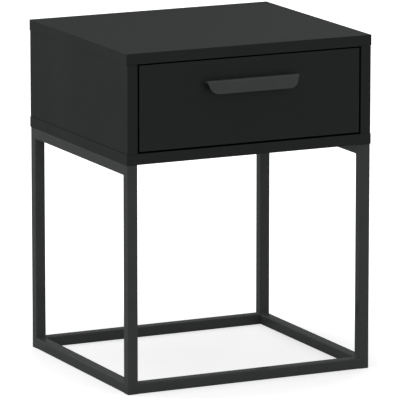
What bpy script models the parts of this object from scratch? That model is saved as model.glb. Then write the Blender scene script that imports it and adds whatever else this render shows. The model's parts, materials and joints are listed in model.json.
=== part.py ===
"""Side table with one drawer: a board cabinet standing on a welded square-tube frame.

Metres, +Z up, the front towards -Y and the floor at Z = 0. The origin is the middle of the
footprint, which takes in the handle as well as the cabinet.
"""

from math import atan, cos, pi, radians, sin, sqrt, tan

import bmesh
import bpy
from mathutils import Matrix, Vector

MM = 0.001
GAP = 0.3 * MM  # left between two pieces that touch

# Overall sizes
WIDTH = 396 * MM
DEPTH = 345 * MM
HEIGHT = 502 * MM
BOARD = 16 * MM
SIDE_INSET = 1 * MM  # from the ends of the top and bottom panels to the side panels and the frame

# Steel frame
FRAME_HEIGHT = 339 * MM
TUBE = 16 * MM
TUBE_WALL = 1.2 * MM
TUBE_CORNER = 1.5 * MM
PLUG_HEIGHT = 12 * MM
PLUG_RECESS = 0.5 * MM

# Fibreboard panels let into grooves
THIN_BOARD = 3 * MM
GROOVE_DEPTH = 6 * MM
BACK_RECESS = 10 * MM

# Drawer
SIDE_GAP = 3 * MM  # round the drawer front
TOP_GAP = 2.2 * MM
DRAWER_BOARD = 12 * MM
DRAWER_SIDE_HEIGHT = 100 * MM
DRAWER_SIDE_LENGTH = 300 * MM
DRAWER_LIFT = 11 * MM  # of the drawer's sides above the bottom panel
DRAWER_BOTTOM_LIFT = 10 * MM

# Handle, a bent strip with a back plate, a top and a lip
HANDLE_TOP_HALF_WIDTH = 74.4 * MM
HANDLE_BOTTOM_HALF_WIDTH = 68 * MM  # where the slanting ends would meet the lower edge
HANDLE_CORNER = 14 * MM
HANDLE_TOP_DEPTH = 10.5 * MM
HANDLE_REACH = 16.2 * MM  # from the drawer front to the lip's lower edge
HANDLE_HEIGHT = 18.7 * MM
HANDLE_DROP = 31.7 * MM  # from the top panel's underside down to the handle's top
HANDLE_STRIP = 2 * MM
HANDLE_BEND = 3 * MM
HANDLE_BACK_HEIGHT = 14 * MM
HANDLE_BACK_HALF_WIDTH = 59 * MM  # of the back plate's lower edge; its ends slant out to the bend
HANDLE_SCREW_SPACING = 96 * MM
HANDLE_SCREW_DROP = 8 * MM  # from the handle's top to its screws

# Runners: two telescopic ones, each with three members
RUNNER_LENGTH = 300 * MM
RUNNER_SHEET = 1.2 * MM
RUNNER_BEND = 2 * MM
RUNNER_SETBACK = 3 * MM  # of the runners behind the drawer front's back face
RUNNER_CENTRE = 45 * MM  # above the bottom panel
RUNNER_SPACE = 13 * MM  # between a side panel and the drawer's side
CABINET_MEMBER_HEIGHT = 45 * MM
MIDDLE_MEMBER_HEIGHT = 36 * MM
DRAWER_MEMBER_HEIGHT = 27.2 * MM
MIDDLE_MEMBER_TRIM = 5 * MM  # the middle member is this much shorter at each end
SCREW_HEAD_SPACE = 2.1 * MM  # between the cabinet member and the middle member, for the screw heads
CABINET_FLANGE_CLEARANCE = 3.4 * MM  # from the drawer member's web to the cabinet member's flanges
MIDDLE_FLANGE_CLEARANCE = 2.4 * MM  # from the drawer member's web to the middle member's flanges
DRAWER_FLANGE_CLEARANCE = 2.2 * MM  # from the middle member's web to the drawer member's flanges
CABINET_SCREW_SETBACKS = (35 * MM, 260 * MM)  # from a runner's front end to its screws
DRAWER_SCREW_SETBACKS = (70 * MM, 230 * MM)

# Fixings
CAM_RADIUS = 7.5 * MM
CAM_DEPTH = 12.5 * MM
CAM_DISTANCE = 24 * MM  # from the joint to the cam's centre
CAM_BOLT_RADIUS = 3 * MM
CAM_BOLT_EMBED = 11 * MM
SMALL_CAM_RADIUS = 6 * MM
SMALL_CAM_DEPTH = 9 * MM
DRAWER_CAM_DROP = 36 * MM  # from the top of the drawer's sides to the cams
FRONT_FIXING_SETBACK = 40 * MM  # of the cabinet's front cams and frame screws from the front
BACK_FIXING_SETBACK = 50 * MM

# Screws: shank radius, length under the head, head radius, head thickness
FRAME_SCREW = (2.5 * MM, 40 * MM, 4.5 * MM, 2.4 * MM)
RUNNER_SCREW = (1.7 * MM, 10 * MM, 3.5 * MM, 1.4 * MM)
DRAWER_BACK_SCREW = (1.9 * MM, 32 * MM, 3.8 * MM, 1.8 * MM)
HANDLE_SCREW = (2 * MM, BOARD + HANDLE_STRIP, 4.2 * MM, 2.2 * MM)
RECESS_ARM = 1 * MM  # the width of a cross recess's arms
RECESS_DEPTH = 1.2 * MM

# Places worked out from the sizes above
FRONT = -(DEPTH - HANDLE_REACH) / 2
BACK = FRONT + DEPTH
FRAME_OUTER = WIDTH / 2 - SIDE_INSET
SIDE_INNER = FRAME_OUTER - BOARD
BOTTOM_TOP = FRAME_HEIGHT + BOARD
TOP_UNDERSIDE = HEIGHT - BOARD
FRAME_TOP = FRAME_HEIGHT - GAP
BACK_PANEL_Y = BACK - BACK_RECESS - THIN_BOARD
BACK_GROOVE_Y = (BACK_PANEL_Y - GAP, BACK_PANEL_Y + THIN_BOARD + GAP)
FRAME_X = FRAME_OUTER - TUBE / 2  # the centre line of the legs, side rails and frame screws
CAM_BOLT_X = SIDE_INNER + BOARD / 2
CAM_Z = TOP_UNDERSIDE - GAP - CAM_DISTANCE
FRONT_BACK_FACE = FRONT + BOARD
DRAWER_OUTER = SIDE_INNER - RUNNER_SPACE
DRAWER_INNER = DRAWER_OUTER - DRAWER_BOARD
DRAWER_BOLT_X = DRAWER_INNER + DRAWER_BOARD / 2
DRAWER_Y = (FRONT_BACK_FACE + GAP, FRONT_BACK_FACE + GAP + DRAWER_SIDE_LENGTH)
DRAWER_LOW = BOTTOM_TOP + DRAWER_LIFT
DRAWER_HIGH = DRAWER_LOW + DRAWER_SIDE_HEIGHT
DRAWER_BOTTOM_LOW = DRAWER_LOW + DRAWER_BOTTOM_LIFT
RUNNER_FRONT = FRONT_BACK_FACE + RUNNER_SETBACK
RUNNER_Z = BOTTOM_TOP + RUNNER_CENTRE
HANDLE_TOP = TOP_UNDERSIDE - HANDLE_DROP
HANDLE_SCREW_Z = HANDLE_TOP - HANDLE_SCREW_DROP
DRAWER_CAM_Z = DRAWER_HIGH - DRAWER_CAM_DROP
FIXING_Y = (FRONT + FRONT_FIXING_SETBACK, BACK - BACK_FIXING_SETBACK)
CABINET_SCREW_Y = tuple(RUNNER_FRONT + setback for setback in CABINET_SCREW_SETBACKS)
DRAWER_SCREW_Y = tuple(RUNNER_FRONT + setback for setback in DRAWER_SCREW_SETBACKS)
CABINET_WEB = SIDE_INNER - GAP
MIDDLE_WEB = CABINET_WEB - RUNNER_SHEET - SCREW_HEAD_SPACE
DRAWER_WEB = DRAWER_OUTER + GAP

ROUND_SIDES = 16  # facets of a hole or of a large round piece
SMALL_ROUND_SIDES = 12  # facets of a screw or a bolt
DISC_SIDES = 20  # facets of a cam
SIDES = (("left", -1), ("right", 1))
ENDS = ("front", "back")
X_AXIS = Vector((1, 0, 0))
Y_AXIS = Vector((0, 1, 0))
Z_AXIS = Vector((0, 0, 1))

# Finishes: base colour, roughness, metallic
BLACK_BOARD = ((0.026, 0.029, 0.028), 0.5, 0.0)
BLACK_FIBREBOARD = ((0.030, 0.030, 0.030), 0.75, 0.0)
POWDER_COAT = ((0.047, 0.048, 0.049), 0.45, 0.0)
ZINC_STEEL = ((0.55, 0.56, 0.57), 0.35, 1.0)
DIE_CAST = ((0.42, 0.42, 0.43), 0.5, 1.0)
BLACK_PLASTIC = ((0.02, 0.02, 0.02), 0.5, 0.0)


def clear_scene():
    for item in list(bpy.data.objects):
        bpy.data.objects.remove(item, do_unlink=True)


def material_of(name, finish):
    colour, roughness, metallic = finish
    material = bpy.data.materials.new(name)
    material.use_nodes = True
    shader = material.node_tree.nodes["Principled BSDF"]
    shader.inputs["Base Color"].default_value = (*colour, 1)
    shader.inputs["Roughness"].default_value = roughness
    shader.inputs["Metallic"].default_value = metallic
    material.diffuse_color = (*colour, 1)
    return material


def ride_on(item, carrier):
    """Parents item to carrier and leaves it where it stands."""
    item.parent = carrier
    item.matrix_parent_inverse = carrier.matrix_basis.inverted()


def new_object(name, shape, centre, turn=None):
    """An object with the bmesh's shape, its local Z turned to lie along the vector turn."""
    bmesh.ops.recalc_face_normals(shape, faces=shape.faces)
    mesh = bpy.data.meshes.new(name)
    shape.to_mesh(mesh)
    shape.free()
    item = bpy.data.objects.new(name, mesh)
    item.location = centre
    if turn is not None:
        item.rotation_euler = turn.to_track_quat("Z", "Y").to_euler()
    bpy.context.scene.collection.objects.link(item)
    return item


def finished(item, finish, carrier, rounded=False):
    """Gives a piece its material, its carrier and, where it is round, smooth shading."""
    item.data.materials.append(material_of(item.name, finish))
    if rounded:
        item.data.shade_smooth()
        item.data.set_sharp_from_angle(angle=radians(35))
    ride_on(item, carrier)
    return item


def carrier_at(name, place):
    """An empty that the pieces of one rigid body ride on."""
    carrier = bpy.data.objects.new(name, None)
    carrier.empty_display_size = 0.05
    carrier.location = place
    bpy.context.scene.collection.objects.link(carrier)
    return carrier


def box_shape(name, x, y, z):
    """A box between the given limits, each a pair."""
    shape = bmesh.new()
    size = [abs(limits[1] - limits[0]) for limits in (x, y, z)]
    bmesh.ops.create_cube(shape, size=1, matrix=Matrix.Diagonal((*size, 1)))
    return new_object(name, shape, [sum(limits) / 2 for limits in (x, y, z)])


def rod_shape(name, radius, start, end, segments=ROUND_SIDES):
    """A cylinder from the point start to the point end."""
    start, end = Vector(start), Vector(end)
    shape = bmesh.new()
    bmesh.ops.create_cone(
        shape, cap_ends=True, segments=segments, radius1=radius, radius2=radius, depth=(end - start).length
    )
    return new_object(name, shape, (start + end) / 2, (end - start).normalized())


def bore(name, radius, start, end, segments=ROUND_SIDES):
    """A cutter for the hole round a piece of that radius, from the point start to the point end."""
    return rod_shape(name, radius + GAP, start, end, segments)


def turned_shape(name, profile, place, direction, segments=ROUND_SIDES):
    """A turned piece: profile holds (radius, height) points, and height runs along direction."""
    shape = bmesh.new()
    points = [shape.verts.new((radius, 0, height)) for radius, height in profile]
    edges = [shape.edges.new(pair) for pair in zip(points, points[1:])]
    bmesh.ops.spin(
        shape, geom=points + edges, cent=(0, 0, 0), axis=Z_AXIS, angle=2 * pi, steps=segments, use_merge=True
    )
    bmesh.ops.remove_doubles(shape, verts=shape.verts, dist=0.001 * MM)
    return new_object(name, shape, place, direction)


def extruded_shape(name, outline, y):
    """A prism along Y whose section is the outline's (x, z) points."""
    shape = bmesh.new()
    section = shape.faces.new([shape.verts.new((x, y[0], z)) for x, z in outline])
    grown = bmesh.ops.extrude_face_region(shape, geom=[section])["geom"]
    moved = [part for part in grown if isinstance(part, bmesh.types.BMVert)]
    bmesh.ops.translate(shape, verts=moved, vec=(0, y[1] - y[0], 0))
    return new_object(name, shape, (0, 0, 0))


def cut(item, *cutters):
    """Takes the cutters away from the item with Boolean modifiers."""
    for cutter in cutters:
        cutter.hide_render = True
        cutter.display_type = "WIRE"
        ride_on(cutter, item)
        modifier = item.modifiers.new(cutter.name, "BOOLEAN")
        modifier.operation = "DIFFERENCE"
        modifier.solver = "EXACT"
        modifier.object = cutter


def across(sign, near, far):
    """The X limits of a piece on the side given by sign, lying between two distances from the middle."""
    return sorted((sign * near, sign * far))


# Steel frame


def rounded_square(size, corner, steps=2):
    """The corners of a square with rounded corners, centred on the origin."""
    points = []
    reach = size / 2 - corner
    for quarter in range(4):
        middle = pi / 4 + quarter * pi / 2
        centre = (reach * sqrt(2) * cos(middle), reach * sqrt(2) * sin(middle))
        for step in range(steps + 1):
            angle = quarter * pi / 2 + step / steps * pi / 2
            points.append((centre[0] + corner * cos(angle), centre[1] + corner * sin(angle)))
    return points


def square_tube(name, start, end, carrier):
    """A hollow square tube between two points on its centre line, open at both ends."""
    start, end = Vector(start), Vector(end)
    half = (end - start).length / 2
    outer = rounded_square(TUBE, TUBE_CORNER)
    inner = rounded_square(TUBE - 2 * TUBE_WALL, TUBE_CORNER - TUBE_WALL)
    shape = bmesh.new()
    rings = []
    for outline, height in ((outer, -half), (outer, half), (inner, half), (inner, -half)):
        rings.append([shape.verts.new((x, y, height)) for x, y in outline])
    for near, far in zip(rings, rings[1:] + rings[:1]):
        for index in range(len(near)):
            after = (index + 1) % len(near)
            shape.faces.new((near[index], near[after], far[after], far[index]))
    item = new_object(name, shape, (start + end) / 2, (end - start).normalized())
    return finished(item, POWDER_COAT, carrier, rounded=True)


def legs(table):
    """Four legs, each with a plastic plug in its lower end."""
    plug_half = TUBE / 2 - TUBE_WALL - GAP
    for end, y in (("front", FRONT + TUBE / 2), ("back", BACK - TUBE / 2)):
        for side, sign in SIDES:
            x = sign * FRAME_X
            square_tube(f"{end}_{side}_leg", (x, y, 0), (x, y, FRAME_TOP), table)
            plug = box_shape(
                f"{end}_{side}_leg_plug",
                (x - plug_half, x + plug_half),
                (y - plug_half, y + plug_half),
                (PLUG_RECESS, PLUG_RECESS + PLUG_HEIGHT),
            )
            finished(plug, BLACK_PLASTIC, table)


def base_rails(table):
    """Four rails on the floor that tie the feet of the legs."""
    low = TUBE / 2
    reach = FRAME_OUTER - TUBE - GAP
    for end, y in (("front", FRONT + TUBE / 2), ("back", BACK - TUBE / 2)):
        square_tube(f"{end}_base_rail", (-reach, y, low), (reach, y, low), table)
    for side, sign in SIDES:
        x = sign * FRAME_X
        square_tube(f"{side}_base_rail", (x, FRONT + TUBE + GAP, low), (x, BACK - TUBE - GAP, low), table)


def top_rails(table):
    """A rail under each end of the cabinet, drilled for the frame screws."""
    high = FRAME_TOP - TUBE / 2
    for side, sign in SIDES:
        x = sign * FRAME_X
        near, far = (x, FRONT + TUBE + GAP, high), (x, BACK - TUBE - GAP, high)
        rail = square_tube(f"{side}_top_rail", near, far, table)
        for end, y in zip(ENDS, FIXING_Y):
            cut(
                rail,
                frame_screw_hole(f"{side}_top_rail_{end}_hole", x, y),
                access_hole(f"{side}_top_rail_{end}_access", x, y),
            )


# Screws, bolts and cams


def cross_recess(name, place, direction, reach):
    """A cutter for the cross in a screw's head."""
    shape = bmesh.new()
    arm = RECESS_ARM / 2
    corners = []
    for quarter in range(4):
        turn = Matrix.Rotation(quarter * pi / 2, 2)
        for point in ((reach, -arm), (reach, arm), (arm, arm)):
            corners.append(turn @ Vector(point))
    face = shape.faces.new([shape.verts.new((x, y, -RECESS_DEPTH)) for x, y in corners])
    grown = bmesh.ops.extrude_face_region(shape, geom=[face])["geom"]
    moved = [part for part in grown if isinstance(part, bmesh.types.BMVert)]
    bmesh.ops.translate(shape, verts=moved, vec=(0, 0, 2 * RECESS_DEPTH))
    return new_object(name, shape, place, direction)


def pan_screw(name, seat, direction, sizes, finish, carrier):
    """A screw with a low round head on its seat and its shank running along direction."""
    shank, length, head, thickness = sizes
    profile = (
        (0, length),
        (shank * 0.5, length),
        (shank, length - shank),
        (shank, 0),
        (head, 0),
        (head, -thickness * 0.55),
        (head * 0.72, -thickness),
        (0, -thickness),
    )
    screw = turned_shape(name, profile, seat, direction, segments=SMALL_ROUND_SIDES)
    outside = Vector(seat) - direction * thickness
    cut(screw, cross_recess(f"{name}_recess", outside, direction, head * 0.5))
    return finished(screw, finish, carrier, rounded=True)


def frame_screw_hole(name, x, y):
    """A cutter along a frame screw's shank, from inside the rail to just past the screw's tip."""
    low, high = FRAME_TOP - TUBE / 2, FRAME_TOP - TUBE_WALL + FRAME_SCREW[1]
    return bore(name, FRAME_SCREW[0], (x, y, low), (x, y, high))


def access_hole(name, x, y):
    """A cutter through the rail's lower wall, wide enough for a frame screw's head."""
    return bore(name, FRAME_SCREW[2], (x, y, FRAME_TOP - TUBE - GAP), (x, y, FRAME_TOP - TUBE / 2))


def frame_screws(table):
    """Screws from inside the top rails, through the bottom panel, into the side panels' lower edges."""
    for side, sign in SIDES:
        x = sign * FRAME_X
        for end, y in zip(ENDS, FIXING_Y):
            seat = (x, y, FRAME_TOP - TUBE_WALL - GAP)
            pan_screw(f"{side}_{end}_frame_screw", seat, Z_AXIS, FRAME_SCREW, ZINC_STEEL, table)


def cam(name, face, direction, radius, depth, carrier):
    """A cam disc let in flush with a face, with a slot for the screwdriver; direction points out."""
    inner = Vector(face) - direction * depth
    disc = rod_shape(name, radius, inner, face, segments=DISC_SIDES)
    reaches = (RECESS_ARM, radius * 0.7, RECESS_DEPTH)
    slot = box_shape(f"{name}_slot", *((-reach, reach) for reach in reaches))
    slot.location = face
    slot.rotation_euler = direction.to_track_quat("Z", "Y").to_euler()
    cut(disc, slot)
    return finished(disc, DIE_CAST, carrier, rounded=True)


def cabinet_cams(table):
    """Cams in the side panels and bolts in the top panel, front and back on each side."""
    for side, sign in SIDES:
        for end, y in zip(ENDS, FIXING_Y):
            face = (sign * SIDE_INNER, y, CAM_Z)
            cam(f"{side}_{end}_cam", face, -sign * X_AXIS, CAM_RADIUS, CAM_DEPTH, table)
            low = (sign * CAM_BOLT_X, y, CAM_Z + CAM_RADIUS + GAP)
            high = (sign * CAM_BOLT_X, y, TOP_UNDERSIDE + CAM_BOLT_EMBED - GAP)
            bolt = rod_shape(f"{side}_{end}_cam_bolt", CAM_BOLT_RADIUS, low, high, segments=SMALL_ROUND_SIDES)
            finished(bolt, ZINC_STEEL, table, rounded=True)


def drawer_cams(drawer):
    """A cam in each drawer side and a bolt in the drawer front."""
    cam_y = DRAWER_Y[0] + CAM_DISTANCE
    for side, sign in SIDES:
        face = (sign * DRAWER_INNER, cam_y, DRAWER_CAM_Z)
        cam(f"{side}_drawer_cam", face, -sign * X_AXIS, SMALL_CAM_RADIUS, SMALL_CAM_DEPTH, drawer)
        near = (sign * DRAWER_BOLT_X, FRONT_BACK_FACE - CAM_BOLT_EMBED + GAP, DRAWER_CAM_Z)
        far = (sign * DRAWER_BOLT_X, cam_y - SMALL_CAM_RADIUS - GAP, DRAWER_CAM_Z)
        bolt = rod_shape(f"{side}_drawer_cam_bolt", CAM_BOLT_RADIUS, near, far, segments=SMALL_ROUND_SIDES)
        finished(bolt, ZINC_STEEL, drawer, rounded=True)


# Cabinet boards


def top_panel(table):
    """The table's top, with a blind groove for the back panel and holes for the cam bolts."""
    panel = box_shape("top_panel", (-WIDTH / 2, WIDTH / 2), (FRONT, BACK), (TOP_UNDERSIDE, HEIGHT))
    cut(panel, back_groove("top_panel_groove", TOP_UNDERSIDE - GROOVE_DEPTH))
    for side, sign in SIDES:
        for end, y in zip(ENDS, FIXING_Y):
            low = (sign * CAM_BOLT_X, y, TOP_UNDERSIDE - BOARD)
            high = (sign * CAM_BOLT_X, y, TOP_UNDERSIDE + CAM_BOLT_EMBED)
            cut(panel, bore(f"top_panel_{side}_{end}_hole", CAM_BOLT_RADIUS, low, high))
    return finished(panel, BLACK_BOARD, table)


def back_groove(name, low):
    """A cutter for the back panel's groove, twice its depth high and starting at low."""
    x = (-SIDE_INNER - GROOVE_DEPTH, SIDE_INNER + GROOVE_DEPTH)
    return box_shape(name, x, BACK_GROOVE_Y, (low, low + 2 * GROOVE_DEPTH))


def bottom_panel(table):
    """The cabinet's floor, with a blind groove for the back panel and holes for the frame screws."""
    panel = box_shape("bottom_panel", (-WIDTH / 2, WIDTH / 2), (FRONT, BACK), (FRAME_HEIGHT, BOTTOM_TOP))
    cut(panel, back_groove("bottom_panel_groove", BOTTOM_TOP - GROOVE_DEPTH))
    for side, sign in SIDES:
        for end, y in zip(ENDS, FIXING_Y):
            cut(panel, frame_screw_hole(f"bottom_panel_{side}_{end}_hole", sign * FRAME_X, y))
    return finished(panel, BLACK_BOARD, table)


def side_panel(side, sign, table):
    """An upright side with its groove, cam holes, screw holes and runner holes."""
    name = f"{side}_side_panel"
    low, high = BOTTOM_TOP + GAP, TOP_UNDERSIDE - GAP
    panel = box_shape(name, across(sign, SIDE_INNER, FRAME_OUTER), (FRONT, BACK), (low, high))
    groove_x = across(sign, SIDE_INNER - GROOVE_DEPTH, SIDE_INNER + GROOVE_DEPTH)
    cut(panel, box_shape(f"{name}_groove", groove_x, BACK_GROOVE_Y, (low - BOARD, high + BOARD)))
    bolt_x = sign * CAM_BOLT_X
    inside = sign * (SIDE_INNER - BOARD)
    cam_floor = sign * (SIDE_INNER + CAM_DEPTH + GAP)
    for end, y in zip(ENDS, FIXING_Y):
        cut(
            panel,
            bore(f"{name}_{end}_cam_hole", CAM_RADIUS, (inside, y, CAM_Z), (cam_floor, y, CAM_Z), DISC_SIDES),
            bore(f"{name}_{end}_bolt_hole", CAM_BOLT_RADIUS, (bolt_x, y, CAM_Z), (bolt_x, y, high + BOARD)),
            frame_screw_hole(f"{name}_{end}_screw_hole", sign * FRAME_X, y),
        )
    screw_floor = sign * (SIDE_INNER + RUNNER_SCREW[1])
    for end, y in zip(ENDS, CABINET_SCREW_Y):
        near, far = (inside, y, RUNNER_Z), (screw_floor, y, RUNNER_Z)
        cut(panel, bore(f"{name}_{end}_runner_hole", RUNNER_SCREW[0], near, far))
    return finished(panel, BLACK_BOARD, table)


def back_panel(table):
    """Thin fibreboard let into all four boards."""
    x_reach = SIDE_INNER + GROOVE_DEPTH - GAP
    z = (BOTTOM_TOP - GROOVE_DEPTH + GAP, TOP_UNDERSIDE + GROOVE_DEPTH - GAP)
    y = (BACK_PANEL_Y, BACK_PANEL_Y + THIN_BOARD)
    return finished(box_shape("back_panel", (-x_reach, x_reach), y, z), BLACK_FIBREBOARD, table)


# Telescopic runners


def channel_outline(web, tip, half_height):
    """The (x, z) section of a channel: web is the outside of its back, tip the ends of its flanges."""
    way = 1 if tip > web else -1

    def bent_path(face, height, bend):
        """From the upper flange's end, round both bends, to the lower flange's end."""
        path = [(tip, height)]
        for upper in (1, -1):
            arc = []
            for step in range(4):
                angle = pi / 2 * step / 3
                x = face + way * (bend - bend * sin(angle))
                z = upper * (height - bend + bend * cos(angle))
                arc.append((x, z))
            path += arc if upper == 1 else arc[::-1]
        return path + [(tip, -height)]

    outside = bent_path(web, half_height, RUNNER_BEND)
    inside = bent_path(web + way * RUNNER_SHEET, half_height - RUNNER_SHEET, RUNNER_BEND - RUNNER_SHEET)
    return [(x, RUNNER_Z + z) for x, z in outside + inside[::-1]]


def runner_member(name, web, tip, height, y, carrier):
    member = extruded_shape(name, channel_outline(web, tip, height / 2), y)
    return finished(member, ZINC_STEEL, carrier, rounded=True)


def runners(table, middles, drawer):
    """On each side a member screwed to the cabinet, one that floats, and one screwed to the drawer."""
    y = (RUNNER_FRONT, RUNNER_FRONT + RUNNER_LENGTH)
    middle_y = (y[0] + MIDDLE_MEMBER_TRIM, y[1] - MIDDLE_MEMBER_TRIM)
    cabinet_tip = DRAWER_WEB + CABINET_FLANGE_CLEARANCE
    middle_tip = DRAWER_WEB + MIDDLE_FLANGE_CLEARANCE
    drawer_tip = MIDDLE_WEB - DRAWER_FLANGE_CLEARANCE
    for side, sign in SIDES:
        cabinet_member = runner_member(
            f"{side}_cabinet_member", sign * CABINET_WEB, sign * cabinet_tip, CABINET_MEMBER_HEIGHT, y, table
        )
        runner_member(
            f"{side}_middle_member",
            sign * MIDDLE_WEB,
            sign * middle_tip,
            MIDDLE_MEMBER_HEIGHT,
            middle_y,
            middles[side],
        )
        drawer_member = runner_member(
            f"{side}_drawer_member", sign * DRAWER_WEB, sign * drawer_tip, DRAWER_MEMBER_HEIGHT, y, drawer
        )
        cabinet_seat = sign * (CABINET_WEB - RUNNER_SHEET)
        drawer_seat = sign * (DRAWER_WEB + RUNNER_SHEET)
        screw_runner(f"{side}_cabinet", cabinet_member, cabinet_seat, sign * X_AXIS, CABINET_SCREW_Y, table)
        screw_runner(f"{side}_drawer", drawer_member, drawer_seat, -sign * X_AXIS, DRAWER_SCREW_Y, drawer)


def screw_runner(runner, member, seat_x, direction, places, carrier):
    """Two screws through a runner member, and the holes that they pass through."""
    for end, y in zip(ENDS, places):
        seat = Vector((seat_x, y, RUNNER_Z)) - direction * GAP
        name = f"{runner}_{end}_runner_screw"
        hole_end = seat + direction * (GAP + 2 * RUNNER_SHEET)
        cut(member, bore(f"{name}_hole", RUNNER_SCREW[0], seat, hole_end))
        pan_screw(name, seat, direction, RUNNER_SCREW, ZINC_STEEL, carrier)


# Drawer


def bottom_groove(name, x, y):
    """A cutter for the drawer bottom's groove."""
    return box_shape(name, x, y, (DRAWER_BOTTOM_LOW - GAP, DRAWER_BOTTOM_LOW + THIN_BOARD + GAP))


def drawer_front(drawer):
    """The inset front, with a groove behind and holes for the cam bolts and handle screws."""
    x_reach = SIDE_INNER - SIDE_GAP
    z = (BOTTOM_TOP + SIDE_GAP, TOP_UNDERSIDE - TOP_GAP)
    front = box_shape("drawer_front", (-x_reach, x_reach), (FRONT, FRONT_BACK_FACE), z)
    groove_x = DRAWER_INNER + GROOVE_DEPTH
    groove_y = (FRONT_BACK_FACE - GROOVE_DEPTH, FRONT_BACK_FACE + GROOVE_DEPTH)
    cut(front, bottom_groove("drawer_front_groove", (-groove_x, groove_x), groove_y))
    behind = FRONT_BACK_FACE + BOARD
    bolt_floor = FRONT_BACK_FACE - CAM_BOLT_EMBED
    for side, sign in SIDES:
        x = sign * DRAWER_BOLT_X
        handle_x = sign * HANDLE_SCREW_SPACING / 2
        bolt_ends = ((x, bolt_floor, DRAWER_CAM_Z), (x, behind, DRAWER_CAM_Z))
        screw_ends = ((handle_x, FRONT - BOARD, HANDLE_SCREW_Z), (handle_x, behind, HANDLE_SCREW_Z))
        cut(
            front,
            bore(f"drawer_front_{side}_bolt_hole", CAM_BOLT_RADIUS, *bolt_ends),
            bore(f"drawer_front_{side}_handle_hole", HANDLE_SCREW[0], *screw_ends),
        )
    return finished(front, BLACK_BOARD, drawer)


def drawer_side(side, sign, drawer):
    """A drawer side with its groove, cam hole, bolt hole and screw holes."""
    name = f"{side}_drawer_side"
    panel = box_shape(name, across(sign, DRAWER_INNER, DRAWER_OUTER), DRAWER_Y, (DRAWER_LOW, DRAWER_HIGH))
    groove_x = across(sign, DRAWER_INNER - GROOVE_DEPTH, DRAWER_INNER + GROOVE_DEPTH)
    groove_y = (DRAWER_Y[0] - BOARD, DRAWER_Y[1] + BOARD)
    cam_y = DRAWER_Y[0] + CAM_DISTANCE
    inside = sign * (DRAWER_INNER - BOARD)
    outside = sign * (DRAWER_OUTER + BOARD)
    cam_floor = sign * (DRAWER_INNER + SMALL_CAM_DEPTH + GAP)
    bolt_x = sign * DRAWER_BOLT_X
    back_y = DRAWER_Y[1] - DRAWER_BOARD / 2
    head_floor = sign * (DRAWER_OUTER - DRAWER_BACK_SCREW[3] - 2 * GAP)
    cam_ends = ((inside, cam_y, DRAWER_CAM_Z), (cam_floor, cam_y, DRAWER_CAM_Z))
    bolt_ends = ((bolt_x, DRAWER_Y[0] - BOARD, DRAWER_CAM_Z), (bolt_x, cam_y, DRAWER_CAM_Z))
    screw_ends = ((inside, back_y, DRAWER_CAM_Z), (outside, back_y, DRAWER_CAM_Z))
    head_ends = ((head_floor, back_y, DRAWER_CAM_Z), (outside, back_y, DRAWER_CAM_Z))
    cut(
        panel,
        bottom_groove(f"{name}_groove", groove_x, groove_y),
        bore(f"{name}_cam_hole", SMALL_CAM_RADIUS, *cam_ends, DISC_SIDES),
        bore(f"{name}_bolt_hole", CAM_BOLT_RADIUS, *bolt_ends),
        bore(f"{name}_back_hole", DRAWER_BACK_SCREW[0], *screw_ends),
        bore(f"{name}_back_counterbore", DRAWER_BACK_SCREW[2], *head_ends),
    )
    screw_floor = sign * (DRAWER_WEB + RUNNER_SHEET - RUNNER_SCREW[1])
    for end, y in zip(ENDS, DRAWER_SCREW_Y):
        near, far = (outside, y, RUNNER_Z), (screw_floor, y, RUNNER_Z)
        cut(panel, bore(f"{name}_{end}_runner_hole", RUNNER_SCREW[0], near, far))
    return finished(panel, BLACK_BOARD, drawer)


def drawer_back(drawer):
    """The drawer's back board, standing on the drawer bottom between the sides."""
    reach = DRAWER_INNER - GAP
    y = (DRAWER_Y[1] - DRAWER_BOARD, DRAWER_Y[1])
    panel = box_shape("drawer_back", (-reach, reach), y, (DRAWER_BOTTOM_LOW + THIN_BOARD + GAP, DRAWER_HIGH))
    shank, length, _, head_thickness = DRAWER_BACK_SCREW
    centre_y = DRAWER_Y[1] - DRAWER_BOARD / 2
    seat_x = DRAWER_OUTER - head_thickness - GAP
    for side, sign in SIDES:
        start = (sign * (reach + BOARD), centre_y, DRAWER_CAM_Z)
        end = (sign * (seat_x - length - GAP), centre_y, DRAWER_CAM_Z)
        cut(panel, bore(f"drawer_back_{side}_hole", shank, start, end))
        seat = (sign * seat_x, centre_y, DRAWER_CAM_Z)
        pan_screw(f"{side}_drawer_back_screw", seat, -sign * X_AXIS, DRAWER_BACK_SCREW, ZINC_STEEL, drawer)
    return finished(panel, BLACK_BOARD, drawer)


def drawer_bottom(drawer):
    """Thin fibreboard let into the sides and the front, running under the back."""
    x_reach = DRAWER_INNER + GROOVE_DEPTH - GAP
    y = (FRONT_BACK_FACE - GROOVE_DEPTH + GAP, DRAWER_Y[1])
    z = (DRAWER_BOTTOM_LOW, DRAWER_BOTTOM_LOW + THIN_BOARD)
    return finished(box_shape("drawer_bottom", (-x_reach, x_reach), y, z), BLACK_FIBREBOARD, drawer)


# Handle


def lip_half_width(height):
    """Half the lip's width at a height above its lower edge: slanting ends and rounded corners."""
    slant = (HANDLE_TOP_HALF_WIDTH - HANDLE_BOTTOM_HALF_WIDTH) / HANDLE_HEIGHT
    tangent = HANDLE_CORNER * (sqrt(1 + slant * slant) - slant)
    straight_from = tangent / sqrt(1 + slant * slant)
    if height >= straight_from:
        return HANDLE_BOTTOM_HALF_WIDTH + slant * height
    drop = HANDLE_CORNER - height
    return HANDLE_BOTTOM_HALF_WIDTH - tangent + sqrt(HANDLE_CORNER**2 - drop**2)


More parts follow.
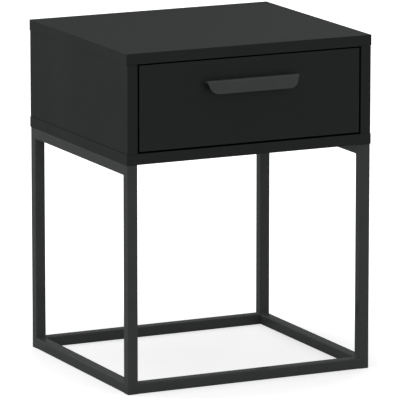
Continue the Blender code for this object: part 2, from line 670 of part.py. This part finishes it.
def handle_rows():
    """(half width, y, z, angle of the outward normal from -Y towards +Z) for each row of the strip."""
    lean = atan((HANDLE_REACH - HANDLE_TOP_DEPTH) / HANDLE_HEIGHT)
    plate = FRONT - GAP
    low = HANDLE_TOP - HANDLE_HEIGHT
    rows = [(HANDLE_BACK_HALF_WIDTH, plate, HANDLE_TOP - HANDLE_BACK_HEIGHT, pi)]
    for step in range(5):
        angle = pi - step / 4 * pi / 2
        y = plate - HANDLE_BEND - HANDLE_BEND * cos(angle)
        z = HANDLE_TOP - HANDLE_BEND + HANDLE_BEND * sin(angle)
        rows.append((HANDLE_TOP_HALF_WIDTH, y, z, angle))
    centre_y = FRONT - HANDLE_TOP_DEPTH + HANDLE_BEND * tan(pi / 4 - lean / 2)
    for step in range(6):
        angle = pi / 2 + step / 5 * (lean - pi / 2)
        y = centre_y - HANDLE_BEND * cos(angle)
        z = HANDLE_TOP - HANDLE_BEND + HANDLE_BEND * sin(angle)
        rows.append((lip_half_width(z - low), y, z, angle))
    bend_y, bend_z = rows[-1][1:3]
    for step in range(7):
        height = HANDLE_CORNER * (1 - cos((6 - step) / 6 * radians(76)))
        y = bend_y - (bend_z - low - height) * tan(lean)
        rows.append((lip_half_width(height), y, low + height, lean))
    return rows


def handle(drawer):
    """A strip of steel bent over twice, with rounded lower corners on its lip."""
    shape = bmesh.new()
    rings = []
    for half_width, y, z, angle in handle_rows():
        outer = Vector((0, y, z))
        inner = outer - HANDLE_STRIP * Vector((0, -cos(angle), sin(angle)))
        corners = ((-half_width, outer), (half_width, outer), (half_width, inner), (-half_width, inner))
        rings.append([shape.verts.new(point + x * X_AXIS) for x, point in corners])
    for near, far in zip(rings, rings[1:]):
        for index in range(4):
            after = (index + 1) % 4
            shape.faces.new((near[index], near[after], far[after], far[index]))
    shape.faces.new(rings[0])
    shape.faces.new(rings[-1])
    strip = new_object("handle", shape, (0, 0, 0))
    for side, sign in SIDES:
        x = sign * HANDLE_SCREW_SPACING / 2
        near, far = (x, FRONT - 2 * HANDLE_STRIP, HANDLE_SCREW_Z), (x, FRONT + BOARD, HANDLE_SCREW_Z)
        cut(strip, bore(f"handle_{side}_hole", HANDLE_SCREW[0], near, far))
    return finished(strip, POWDER_COAT, drawer, rounded=True)


def handle_screws(drawer):
    """Screws from inside the drawer, through its front, into the handle's back plate."""
    for side, sign in SIDES:
        seat = (sign * HANDLE_SCREW_SPACING / 2, FRONT_BACK_FACE + GAP, HANDLE_SCREW_Z)
        pan_screw(f"{side}_handle_screw", seat, -Y_AXIS, HANDLE_SCREW, ZINC_STEEL, drawer)


def main():
    clear_scene()
    table = carrier_at("table_body", (0, 0, 0))
    drawer = carrier_at("drawer_body", (0, FRONT, RUNNER_Z))
    middles = {}
    for side, sign in SIDES:
        middles[side] = carrier_at(f"{side}_runner_body", (sign * MIDDLE_WEB, FRONT, RUNNER_Z))
    legs(table)
    base_rails(table)
    top_rails(table)
    frame_screws(table)
    top_panel(table)
    bottom_panel(table)
    for side, sign in SIDES:
        side_panel(side, sign, table)
        drawer_side(side, sign, drawer)
    back_panel(table)
    cabinet_cams(table)
    runners(table, middles, drawer)
    drawer_front(drawer)
    drawer_back(drawer)
    drawer_bottom(drawer)
    drawer_cams(drawer)
    handle(drawer)
    handle_screws(drawer)


main()
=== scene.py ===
"""Side table with drawer: finishes, weld seams, floor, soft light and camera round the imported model."""

import json
from math import cos, pi, radians, sin

import bmesh
import bpy
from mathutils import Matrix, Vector


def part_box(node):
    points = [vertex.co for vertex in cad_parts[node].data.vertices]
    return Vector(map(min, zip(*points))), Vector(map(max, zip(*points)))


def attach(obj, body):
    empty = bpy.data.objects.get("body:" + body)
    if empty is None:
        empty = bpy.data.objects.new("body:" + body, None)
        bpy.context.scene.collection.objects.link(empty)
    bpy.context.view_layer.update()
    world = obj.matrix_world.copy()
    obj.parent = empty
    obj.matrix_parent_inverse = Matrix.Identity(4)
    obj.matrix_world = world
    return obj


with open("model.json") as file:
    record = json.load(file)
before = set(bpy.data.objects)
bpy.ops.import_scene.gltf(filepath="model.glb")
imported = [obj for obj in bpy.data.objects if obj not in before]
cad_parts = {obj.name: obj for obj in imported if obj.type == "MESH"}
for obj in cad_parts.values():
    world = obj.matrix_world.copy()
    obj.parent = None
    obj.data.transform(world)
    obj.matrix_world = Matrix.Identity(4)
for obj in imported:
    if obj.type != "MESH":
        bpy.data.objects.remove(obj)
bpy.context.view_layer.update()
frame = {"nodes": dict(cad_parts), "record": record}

MM = 0.001
NODES = frame["nodes"]
SUBPARTS = frame["record"]["subparts"]


# Shader helpers


SOCKET = bpy.types.NodeSocket
MIX_AMOUNT, MIX_LOW, MIX_HIGH, MIX_RESULT = 0, 6, 7, 2  # the sockets of a Mix node between colours


def add(tree, kind, inputs=None, **settings):
    """A new node in the tree, with its settings and its inputs, each a value or a socket to link."""
    made = tree.nodes.new(kind)
    for name, value in settings.items():
        setattr(made, name, value)
    for name, value in (inputs or {}).items():
        if isinstance(value, SOCKET):
            tree.links.new(value, made.inputs[name])
        else:
            made.inputs[name].default_value = value
    return made


def calculate(tree, operation, *values):
    """The result of a Math node on the given values or sockets."""
    return add(tree, "ShaderNodeMath", dict(enumerate(values)), operation=operation).outputs[0]


def noise(tree, place, scale, detail, roughness):
    """A noise value from 0 to 1; scale counts features in a metre."""
    inputs = {"Vector": place, "Scale": scale, "Detail": detail, "Roughness": roughness}
    return add(tree, "ShaderNodeTexNoise", inputs).outputs["Fac"]


def stretched(tree, place, scale):
    """The place with each axis scaled, so that a noise on it comes out drawn along the small ones."""
    return add(tree, "ShaderNodeMapping", {"Vector": place, "Scale": scale}).outputs["Vector"]


def between(tree, value, low, high, start, end):
    """The value mapped so that start becomes low and end becomes high, held inside them."""
    inputs = {"Value": value, "From Min": start, "From Max": end, "To Min": low, "To Max": high}
    return add(tree, "ShaderNodeMapRange", inputs, clamp=True).outputs["Result"]


def opaque(colour):
    """The colour with full alpha, or the socket as it is."""
    return colour if isinstance(colour, SOCKET) else (*colour, 1)


def blended(tree, amount, low, high):
    """The colour low where amount is 0, and high where it is 1."""
    inputs = {MIX_AMOUNT: amount, MIX_LOW: opaque(low), MIX_HIGH: opaque(high)}
    return add(tree, "ShaderNodeMix", inputs, data_type="RGBA").outputs[MIX_RESULT]


def bumped(tree, height, depth, strength):
    """The normal after a bump of that depth in metres."""
    inputs = {"Height": height, "Distance": depth, "Strength": strength}
    return add(tree, "ShaderNodeBump", inputs).outputs["Normal"]


def scaled(colour, factor):
    """The colour, lighter or darker by the factor."""
    return tuple(part * factor for part in colour)


def finish(name, metallic=0.0, specular=0.5):
    """A new material, its node tree, its shader and its object coordinates, which move with the piece."""
    material = bpy.data.materials.new(name)
    material.use_nodes = True
    tree = material.node_tree
    shader = tree.nodes["Principled BSDF"]
    shader.inputs["Metallic"].default_value = metallic
    shader.inputs["Specular IOR Level"].default_value = specular
    place = add(tree, "ShaderNodeTexCoord").outputs["Object"]
    return material, tree, shader, place


def connect(tree, shader, colour, roughness, normal):
    """Links a finish's three varying sockets to its shader."""
    for name, socket in (("Base Color", colour), ("Roughness", roughness), ("Normal", normal)):
        tree.links.new(socket, shader.inputs[name])


# Finishes. A noise is written as its features in a metre, its detail and its roughness. A spread is
# the part of a noise's values that a change runs over, and a cover is how much of a second colour
# shows at the two ends of its spread.


MIDDLE = (0.3, 0.7)  # the spread that holds most of a noise's values
UPPER = (0.35, 0.7)  # one that leaves more of the surface at the low end
FIRM, GENTLE = 0.5, 0.4  # strengths of a bump

MELAMINE_SLOTS = ("black_board", "drawer_box_board")
BOARD_SPECULAR = 0.72
BOARD_DARK = (0.0080, 0.0100, 0.0089)
BOARD_LIGHT = (0.0100, 0.0122, 0.0110)
BOARD_FLECK = (0.0440, 0.0480, 0.0460)
BOARD_MOTTLE = (26, 5, 0.6)
BOARD_GRAIN = (2600, 2, 0.6)
BOARD_PEARL = (850, 1, 0.4)
BOARD_SMUDGE = (9, 3, 0.55)
FLECK_COVER, FLECK_SPREAD = (0, 0.35), (0.55, 0.8)
BOARD_ROUGHNESS = (0.485, 0.555)
BOARD_RELIEF = 0.03 * MM
GRAIN_HEIGHT = 0.6  # beside the pearl's 1
BAND_THICKNESS = 0.8 * MM  # of an edge band
BAND_JOINT_HALF = 0.09 * MM  # half the width of the hairline beside the band
BAND_JOINT_TONE = (0.0060, 0.0068, 0.0064)


def edge_distance(tree, place, low, high):
    """The distance in metres from the nearest of a board's four edges, across its flat faces."""
    axes = add(tree, "ShaderNodeSeparateXYZ", {"Vector": place}).outputs
    size = list(high - low)
    flat_axis = size.index(min(size))
    distances = []
    for axis in range(3):
        if axis != flat_axis:
            distances.append(calculate(tree, "SUBTRACT", axes[axis], low[axis]))
            distances.append(calculate(tree, "SUBTRACT", high[axis], axes[axis]))
    nearest = distances[0]
    for distance in distances[1:]:
        nearest = calculate(tree, "MINIMUM", nearest, distance)
    return nearest


def melamine(node):
    """Black melamine on a board: fine pearl grain, faint mottling, edge bands with a hairline joint."""
    material, tree, shader, place = finish(f"melamine_{node}", specular=BOARD_SPECULAR)
    distance = edge_distance(tree, place, *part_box(node))
    joint = calculate(tree, "COMPARE", distance, BAND_THICKNESS, BAND_JOINT_HALF)
    mottle = noise(tree, place, *BOARD_MOTTLE)
    grain = noise(tree, place, *BOARD_GRAIN)
    pearl = noise(tree, place, *BOARD_PEARL)
    face = blended(tree, between(tree, mottle, 0, 1, *MIDDLE), BOARD_DARK, BOARD_LIGHT)
    speckled = blended(tree, between(tree, grain, *FLECK_COVER, *FLECK_SPREAD), face, BOARD_FLECK)
    colour = blended(tree, joint, speckled, BAND_JOINT_TONE)
    smudge = noise(tree, place, *BOARD_SMUDGE)
    roughness = between(tree, smudge, *BOARD_ROUGHNESS, *MIDDLE)
    relief = calculate(tree, "ADD", pearl, calculate(tree, "MULTIPLY", grain, GRAIN_HEIGHT))
    connect(tree, shader, colour, roughness, bumped(tree, relief, BOARD_RELIEF, FIRM))
    return material


FIBRE_SPECULAR = 0.2
FIBRE_DARK = (0.021, 0.022, 0.021)
FIBRE_LIGHT = (0.041, 0.041, 0.039)
FIBRES = (1400, 4, 0.7)
FIBRE_STRETCH = (1, 0.35, 0.35)
FIBRE_CLOUD = (14, 4, 0.6)
FIBRE_ROUGHNESS = (0.68, 0.82)
FIBRE_RELIEF = 0.05 * MM


def fibreboard(name):
    """Thin black-lacquered fibreboard, matt, with a fibrous grain."""
    material, tree, shader, place = finish(name, specular=FIBRE_SPECULAR)
    fibres = noise(tree, stretched(tree, place, FIBRE_STRETCH), *FIBRES)
    cloud = noise(tree, place, *FIBRE_CLOUD)
    colour = blended(tree, between(tree, fibres, 0, 1, *UPPER), FIBRE_DARK, FIBRE_LIGHT)
    roughness = between(tree, cloud, *FIBRE_ROUGHNESS, *MIDDLE)
    connect(tree, shader, colour, roughness, bumped(tree, fibres, FIBRE_RELIEF, FIRM))
    return material


FRAME_TONE = (0.1040, 0.1060, 0.1065)
HANDLE_TONE = (0.1020, 0.1040, 0.1045)
COAT_SPECULAR = 0.31
COAT_DARK, COAT_LIGHT, COAT_SPECK = 0.95, 1.05, 1.7  # beside the tone's 1
COAT_PEEL = (700, 1.5, 0.45)
COAT_GRIT = (4200, 2, 0.6)
COAT_CLOUD = (35, 4, 0.55)
SPECK_COVER, SPECK_SPREAD = (0, 0.5), (0.66, 0.8)
COAT_ROUGHNESS = (0.09, 0.15)
COAT_RELIEF = 0.006 * MM
GRIT_HEIGHT = 0.2  # beside the orange peel's 1


def powder_coat(name, tone):
    """Black gloss powder coat on steel: a fine orange peel, dust specks and a faintly uneven shine."""
    material, tree, shader, place = finish(name, specular=COAT_SPECULAR)
    peel = noise(tree, place, *COAT_PEEL)
    grit = noise(tree, place, *COAT_GRIT)
    cloud = noise(tree, place, *COAT_CLOUD)
    dark, light, speck = (scaled(tone, factor) for factor in (COAT_DARK, COAT_LIGHT, COAT_SPECK))
    coat = blended(tree, between(tree, cloud, 0, 1, *MIDDLE), dark, light)
    colour = blended(tree, between(tree, grit, *SPECK_COVER, *SPECK_SPREAD), coat, speck)
    roughness = between(tree, cloud, *COAT_ROUGHNESS, *MIDDLE)
    relief = calculate(tree, "ADD", peel, calculate(tree, "MULTIPLY", grit, GRIT_HEIGHT))
    connect(tree, shader, colour, roughness, bumped(tree, relief, COAT_RELIEF, FIRM))
    return material


ROLLED_DARK = (0.46, 0.47, 0.48)
ROLLED_LIGHT = (0.62, 0.63, 0.64)
STREAK_TONE = (0.36, 0.37, 0.38)
STREAKS = (1500, 3, 0.6)
STREAK_STRETCH = (1, 0.02, 1)
STREAK_COVER, STREAK_SPREAD = (0, 0.5), (0.4, 0.75)
SPANGLE_SCALE = 260  # crystals in a metre
SPANGLE_SPREAD = (0.1, 0.8)
ROLLED_ROUGHNESS = (0.26, 0.44)
ROLLED_RELIEF = 0.01 * MM


def rolled_zinc(name):
    """Zinc-plated rolled steel: drawn streaks along the runner and a soft spangle."""
    material, tree, shader, place = finish(name, metallic=1.0)
    streaks = noise(tree, stretched(tree, place, STREAK_STRETCH), *STREAKS)
    crystals = add(tree, "ShaderNodeTexVoronoi", {"Vector": place, "Scale": SPANGLE_SCALE})
    spangle = between(tree, crystals.outputs["Distance"], 0, 1, *SPANGLE_SPREAD)
    tone = blended(tree, spangle, ROLLED_DARK, ROLLED_LIGHT)
    colour = blended(tree, between(tree, streaks, *STREAK_COVER, *STREAK_SPREAD), tone, STREAK_TONE)
    roughness = between(tree, streaks, *ROLLED_ROUGHNESS, *MIDDLE)
    connect(tree, shader, colour, roughness, bumped(tree, streaks, ROLLED_RELIEF, GENTLE))
    return material


ZINC_BRIGHT, ZINC_DULL = (0.62, 0.62, 0.60), (0.42, 0.42, 0.41)
CAST_BRIGHT, CAST_DULL = (0.44, 0.44, 0.45), (0.28, 0.28, 0.29)
PLATE_PATCHES = (700, 3, 0.6)
PLATE_PITS = (3500, 2, 0.6)
PLATE_ROUGHNESS = (0.48, 0.3)
PLATE_RELIEF = 0.015 * MM


def plated(name, bright, dull):
    """Zinc-plated or cast small metal: mottled and slightly worn, shinier where it is brighter."""
    material, tree, shader, place = finish(name, metallic=1.0)
    patches = noise(tree, place, *PLATE_PATCHES)
    pits = noise(tree, place, *PLATE_PITS)
    colour = blended(tree, between(tree, patches, 0, 1, *UPPER), dull, bright)
    roughness = between(tree, patches, *PLATE_ROUGHNESS, *MIDDLE)
    connect(tree, shader, colour, roughness, bumped(tree, pits, PLATE_RELIEF, GENTLE))
    return material


PLASTIC_SPECULAR = 0.4
PLASTIC_DARK, PLASTIC_LIGHT = (0.013, 0.013, 0.013), (0.026, 0.026, 0.026)
PLASTIC_TEXTURE = (1800, 3, 0.6)
PLASTIC_ROUGHNESS = (0.45, 0.62)
PLASTIC_RELIEF = 0.03 * MM


def moulded_plastic(name):
    """Black plastic with a fine spark-eroded texture."""
    material, tree, shader, place = finish(name, specular=PLASTIC_SPECULAR)
    texture = noise(tree, place, *PLASTIC_TEXTURE)
    colour = blended(tree, between(tree, texture, 0, 1, *MIDDLE), PLASTIC_DARK, PLASTIC_LIGHT)
    roughness = between(tree, texture, *PLASTIC_ROUGHNESS, *MIDDLE)
    connect(tree, shader, colour, roughness, bumped(tree, texture, PLASTIC_RELIEF, FIRM))
    return material


def slot_materials():
    """The material of every slot apart from the melamine boards'."""
    return {
        "frame_powder_coat": powder_coat("frame_powder_coat", FRAME_TONE),
        "handle_powder_coat": powder_coat("handle_powder_coat", HANDLE_TONE),
        "black_fibreboard": fibreboard("black_fibreboard"),
        "runner_steel": rolled_zinc("rolled_zinc"),
        "zinc_fixings": plated("zinc_plate", ZINC_BRIGHT, ZINC_DULL),
        "cam_metal": plated("die_cast_zinc", CAST_BRIGHT, CAST_DULL),
        "leg_plug_plastic": moulded_plastic("black_plastic"),
    }


def paint(materials):
    """Gives every CAD node the material of its slot; each melamine board has one that knows its edges."""
    for part in SUBPARTS:
        node, slot = part["node"], part["material_slot"]
        item = NODES[node]
        item.data.materials.clear()
        item.data.materials.append(melamine(node) if slot in MELAMINE_SLOTS else materials[slot])


# Arrises


ARRIS_WIDTHS = {
    "black_board": 0.5 * MM,
    "drawer_box_board": 0.5 * MM,
    "black_fibreboard": 0.25 * MM,
    "handle_powder_coat": 0.45 * MM,
    "frame_powder_coat": 0.25 * MM,
    "leg_plug_plastic": 0.4 * MM,
}
SAME_POINT = 0.001 * MM  # points this close are one
SAME_PLANE = radians(1)  # faces this nearly level with each other are one
SHARP = radians(50)  # edges that turn more than this are sharp


def soften_edges():
    """Small real chamfers on the sharp edges of the boards, the tubes, the handle and the plugs."""
    for part in SUBPARTS:
        width = ARRIS_WIDTHS.get(part["material_slot"])
        if width is None:
            continue
        item = NODES[part["node"]]
        joined = item.modifiers.new("joined", "WELD")
        joined.merge_threshold = SAME_POINT
        flat = item.modifiers.new("flat_faces", "DECIMATE")
        flat.decimate_type = "DISSOLVE"
        flat.angle_limit = SAME_PLANE
        arris = item.modifiers.new("arris", "BEVEL")
        arris.width = width
        arris.segments = 2
        arris.limit_method = "ANGLE"
        arris.angle_limit = SHARP
        arris.loop_slide = False
        arris.harden_normals = True


# Weld seams


X, Y = 0, 1
ABOVE, BELOW = Vector((0, 0, 1)), Vector((0, 0, -1))
RAILS = (  # each rail, the axis that it runs along, and the side of it that its fillets are on
    ("front_base_rail", X, ABOVE),
    ("back_base_rail", X, ABOVE),
    ("left_base_rail", Y, ABOVE),
    ("right_base_rail", Y, ABOVE),
    ("left_top_rail", Y, BELOW),
    ("right_top_rail", Y, BELOW),
)
RAIL_LOW, RAIL_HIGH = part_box("front_base_rail")
TUBE = RAIL_HIGH.z - RAIL_LOW.z
LEG_GAP = RAIL_LOW.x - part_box("front_left_leg")[1].x  # from a rail's end to the leg beside it
GROOVE = 2 * MM  # how far the seam reaches over the leg's rounded corner
OVERLAP = 0.4 * MM  # how far it reaches over the end of the rail
SEAM_SIZE = TUBE - 0.01 * MM  # the seam lies a hair inside the faces of the tubes
SEAM_CORNER = 1.5 * MM
CORNER_STEPS = 3
BEAD_SIZE = 1.5 * MM
BEAD_LENGTH = TUBE - 3.5 * MM
BEAD_ROOT = 0.4 * MM  # how deep the fillet starts inside the seam
BEAD_STATIONS, BEAD_STEPS = 22, 6  # along the fillet, and round its hollow face
BEAD_HOLLOW = 0.72  # how far the face's arc cuts in towards the corner
BEAD_TIP = 0.35  # the size of the fillet's ends, beside its middle's 1
BEAD_TAPER = 5  # each end grows to full size over a fifth of the length
SWELL = 0.82  # the fillet's usual size, which the ripples and a slower waver change
RIPPLE, RIPPLE_TURN = 0.12, pi * 11
WAVER, WAVER_TURN = 0.06, 17.3


def loft(shape, rings):
    """Joins each ring of points to the next one with faces, and closes both ends."""
    for near, far in zip(rings, rings[1:]):
        for index in range(len(near)):
            after = (index + 1) % len(near)
            shape.faces.new((near[index], near[after], far[after], far[index]))
    shape.faces.new(rings[0])
    shape.faces.new(rings[-1])


def seam_outline():
    """Points round a square with rounded corners, centred on the origin."""
    points = []
    reach = SEAM_SIZE / 2 - SEAM_CORNER
    for quarter in range(4):
        start = quarter * pi / 2
        corner_x = reach if quarter in (0, 3) else -reach
        corner_y = reach if quarter in (0, 1) else -reach
        for step in range(CORNER_STEPS + 1):
            angle = start + step / CORNER_STEPS * pi / 2
            points.append((corner_x + SEAM_CORNER * cos(angle), corner_y + SEAM_CORNER * sin(angle)))
    return points


def seam(centre, along, thickness):
    """Weld metal that fills the joint and the grooves beside it, as thick along the rail as given."""
    shape = bmesh.new()
    turn = along.to_track_quat("Z", "Y").to_matrix()
    rings = [
        [shape.verts.new(centre + turn @ Vector((x, y, height))) for x, y in seam_outline()]
        for height in (-thickness / 2, thickness / 2)
    ]
    loft(shape, rings)
    return shape


def bead_size(share):
    """The fillet's size at a share of its length: rippled, uneven, and tapered at both ends."""
    swell = SWELL + RIPPLE * cos(share * RIPPLE_TURN) + WAVER * sin(share * WAVER_TURN)
    ends = min(1, BEAD_TAPER * share, BEAD_TAPER * (1 - share))
    return BEAD_SIZE * swell * (BEAD_TIP + (1 - BEAD_TIP) * ends)


def bead_section(shape, middle, along, out, size):
    """One cross section of the fillet: its root inside the seam, then a hollow arc from rail to leg."""
    section = [shape.verts.new(middle - (along + out) * BEAD_ROOT)]
    for step in range(BEAD_STEPS + 1):
        angle = step / BEAD_STEPS * pi / 2
        reach_along = size * (1 - BEAD_HOLLOW * sin(angle)) if step < BEAD_STEPS else 0
        reach_out = size * (1 - BEAD_HOLLOW * cos(angle)) if step > 0 else 0
        section.append(shape.verts.new(middle + along * reach_along + out * reach_out))
    return section


def bead(centre, along, out):
    """A small rippled fillet in the inner corner between the rail and the leg."""
    shape = bmesh.new()
    across = along.cross(out)
    sections = []
    for station in range(BEAD_STATIONS + 1):
        share = station / BEAD_STATIONS
        middle = centre + across * (share - 0.5) * BEAD_LENGTH
        sections.append(bead_section(shape, middle, along, out, bead_size(share)))
    loft(shape, sections)
    return shape


def solid(name, shape):
    """An object with the shape as its mesh, its faces turned outwards."""
    bmesh.ops.recalc_face_normals(shape, faces=shape.faces)
    mesh = bpy.data.meshes.new(name)
    shape.to_mesh(mesh)
    shape.free()
    item = bpy.data.objects.new(name, mesh)
    bpy.context.scene.collection.objects.link(item)
    return item


def triangulate(mesh):
    """Cuts every face of the mesh into triangles."""
    shape = bmesh.new()
    shape.from_mesh(mesh)
    bmesh.ops.triangulate(shape, faces=shape.faces)
    shape.to_mesh(mesh)
    shape.free()


def fused(item, other):
    """The item and the other as one closed body, under the item's name."""
    union = item.modifiers.new("union", "BOOLEAN")
    union.operation = "UNION"
    union.solver = "EXACT"
    union.object = other
    graph = bpy.context.evaluated_depsgraph_get()
    whole = bpy.data.meshes.new_from_object(item.evaluated_get(graph))
    triangulate(whole)
    item.modifiers.clear()
    item.data = whole
    bpy.data.objects.remove(other)
    return item


def weld(name, face, along, out, material):
    """The weld where a rail's end meets a leg: a flush seam all round and a fillet in the inner corner.

    face is the middle of the rail's end, along points from the leg into the rail, and out is the
    side of the rail that the inner corner is on.
    """
    middle = face + along * (OVERLAP - GROOVE - LEG_GAP) / 2
    filling = solid(name, seam(middle, along, OVERLAP + GROOVE + LEG_GAP))
    corner = face + out * TUBE / 2 - along * LEG_GAP
    piece = fused(filling, solid(f"{name}_bead", bead(corner, along, out)))
    piece.data.shade_smooth()
    piece.data.set_sharp_from_angle(angle=SHARP)
    piece.data.materials.clear()
    piece.data.materials.append(material)
    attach(piece, "table")


def weld_frame(material):
    """A weld at both ends of every rail."""
    for rail, axis, out in RAILS:
        low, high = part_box(rail)
        for end, edge, way in (("start", low[axis], 1), ("end", high[axis], -1)):
            face = (low + high) / 2
            face[axis] = edge
            along = Vector((0, 0, 0))
            along[axis] = way
            weld(f"{rail}_{end}_weld", face, along, out, material)


# Stage, light and camera


WHITE = (1, 1, 1)


def split_by_ray(tree, output, to_camera, to_table):
    """Shows the camera one shader, and lights the table with the other."""
    camera_ray = add(tree, "ShaderNodeLightPath").outputs["Is Camera Ray"]
    inputs = {0: camera_ray, 1: to_table.outputs[0], 2: to_camera.outputs[0]}
    mixed = add(tree, "ShaderNodeMixShader", inputs)
    tree.links.new(mixed.outputs[0], output.inputs["Surface"])


FLOOR_SIZE = 60
FLOOR_DROP = 0.2 * MM  # keeps the floor clear of the faces that stand on it
FLOOR_TONE = (0.865, 0.845, 0.855)
FLOOR_BOUNCE = (0.48, 0.48, 0.48)
GLOW_WITH_PAINTED_SHADOW, PAINTED_SHADOW_SPREAD = (0.64, 1.0), (0.24, 0.42)  # strengths of the floor's glow, the lower one a painted shadow under the table, and how many metres out they are reached


def floor_material():
    """Pale to the camera, with a glow that is dimmer near the table's base as a painted shadow and whiter
    outside it, but only mid grey to the table.
    """
    material = bpy.data.materials.new("pale_floor_with_painted_shadow")
    material.use_nodes = True
    tree = material.node_tree
    output = tree.nodes["Material Output"]
    tree.nodes.remove(tree.nodes["Principled BSDF"])
    pale = add(tree, "ShaderNodeBsdfDiffuse", {"Color": opaque(FLOOR_TONE)})
    place = add(tree, "ShaderNodeTexCoord").outputs["Object"]
    distance = add(tree, "ShaderNodeVectorMath", {0: place}, operation="LENGTH").outputs["Value"]
    # The glow is weaker near the table's middle than farther out: a painted shadow under its base.
    strength = between(tree, distance, *GLOW_WITH_PAINTED_SHADOW, *PAINTED_SHADOW_SPREAD)
    glow_with_painted_shadow = add(tree, "ShaderNodeEmission", {"Color": opaque(WHITE), "Strength": strength})
    bright = add(tree, "ShaderNodeAddShader", {0: pale.outputs[0], 1: glow_with_painted_shadow.outputs[0]})
    bounce = add(tree, "ShaderNodeBsdfDiffuse", {"Color": opaque(FLOOR_BOUNCE)})
    split_by_ray(tree, output, to_camera=bright, to_table=bounce)
    return material


def floor():
    """A wide pale floor that reads as a white studio sweep with a faint contact shadow, partly real and
    partly painted by the floor's dimmer glow near the table.
    """
    place = (0, 0, -FLOOR_DROP)
    bpy.ops.mesh.primitive_grid_add(x_subdivisions=2, y_subdivisions=2, size=FLOOR_SIZE, location=place)
    ground = bpy.context.object
    ground.name = "studio_floor"
    ground.data.materials.append(floor_material())


STUDIO_TINT = (0.965, 1.0, 0.98)  # of all the light on the table, faintly green
BRIGHT_WAY = (-0.35, -0.45, 0.82)  # the side that the surround is brightest on
SURROUND, SURROUND_SPREAD = (0.10, 0.43), (-0.5, 0.9)  # strengths, from the far side to the bright one


def surroundings():
    """Even white to the camera, and to the table a dimmer tinted light that is brighter on one side."""
    world = bpy.data.worlds.new("studio")
    bpy.context.scene.world = world
    world.use_nodes = True
    tree = world.node_tree
    output = tree.nodes["World Output"]
    tree.nodes.remove(tree.nodes["Background"])
    way = add(tree, "ShaderNodeTexCoord").outputs["Generated"]
    facing = add(tree, "ShaderNodeVectorMath", {0: way, 1: BRIGHT_WAY}, operation="DOT_PRODUCT")
    strength = between(tree, facing.outputs["Value"], *SURROUND, *SURROUND_SPREAD)
    light = add(tree, "ShaderNodeBackground", {"Color": opaque(STUDIO_TINT), "Strength": strength})
    white = add(tree, "ShaderNodeBackground", {"Color": opaque(WHITE), "Strength": 1.0})
    split_by_ray(tree, output, to_camera=white, to_table=light)


AIM = (0, 0, 0.3)  # near the middle of the table
SOFTBOXES = (  # each light's name, its place, the length of its side and its power in watts
    ("overhead_softbox", (-0.4, 0.3, 3.2), 2.0, 13),
    ("left_softbox", (-1.9, 2.4, 1.5), 2.6, 6.6),
    ("front_softbox", (-1.8, -3.0, 2.6), 2.6, 2.0),
    ("rear_softbox", (3.0, 1.7, 1.3), 2.4, 20),
)


def lights():
    """Square area lights round the table, all facing it."""
    for name, place, size, power in SOFTBOXES:
        light = bpy.data.lights.new(name, "AREA")
        light.shape = "SQUARE"
        light.size = size
        light.energy = power
        light.color = STUDIO_TINT
        item = bpy.data.objects.new(name, light)
        item.location = place
        item.rotation_euler = (Vector(AIM) - Vector(place)).to_track_quat("-Z", "Y").to_euler()
        bpy.context.scene.collection.objects.link(item)


AZIMUTH = radians(-25.797)
ELEVATION = radians(11.449)
DISTANCE = 7.0272  # in metres
LENS, SENSOR = 424.19, 36  # in millimetres
SIDEWAYS, UPWARD = 1.76 * MM, -10.24 * MM  # of the camera, in its own plane
CLIP_START, CLIP_END = 0.5, 100


def camera():
    """A long lens at the photograph's angle: left of the front and a little above."""
    low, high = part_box("top_panel")
    centre = Vector(((low.x + high.x) / 2, (low.y + high.y) / 2, high.z / 2))
    back = Vector((sin(AZIMUTH) * cos(ELEVATION), -cos(AZIMUTH) * cos(ELEVATION), sin(ELEVATION)))
    turn = (-back).to_track_quat("-Z", "Y")
    lens = bpy.data.cameras.new("camera")
    lens.lens = LENS
    lens.sensor_width = SENSOR
    lens.clip_start = CLIP_START
    lens.clip_end = CLIP_END
    item = bpy.data.objects.new("camera", lens)
    item.location = centre + back * DISTANCE + turn @ Vector((SIDEWAYS, UPWARD, 0))
    item.rotation_euler = turn.to_euler()
    bpy.context.scene.collection.objects.link(item)
    bpy.context.scene.camera = item


def main():
    """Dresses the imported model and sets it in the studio."""
    materials = slot_materials()
    paint(materials)
    soften_edges()
    weld_frame(materials["frame_powder_coat"])
    floor()
    surroundings()
    lights()
    camera()
    bpy.context.scene.view_settings.view_transform = "Standard"


main()
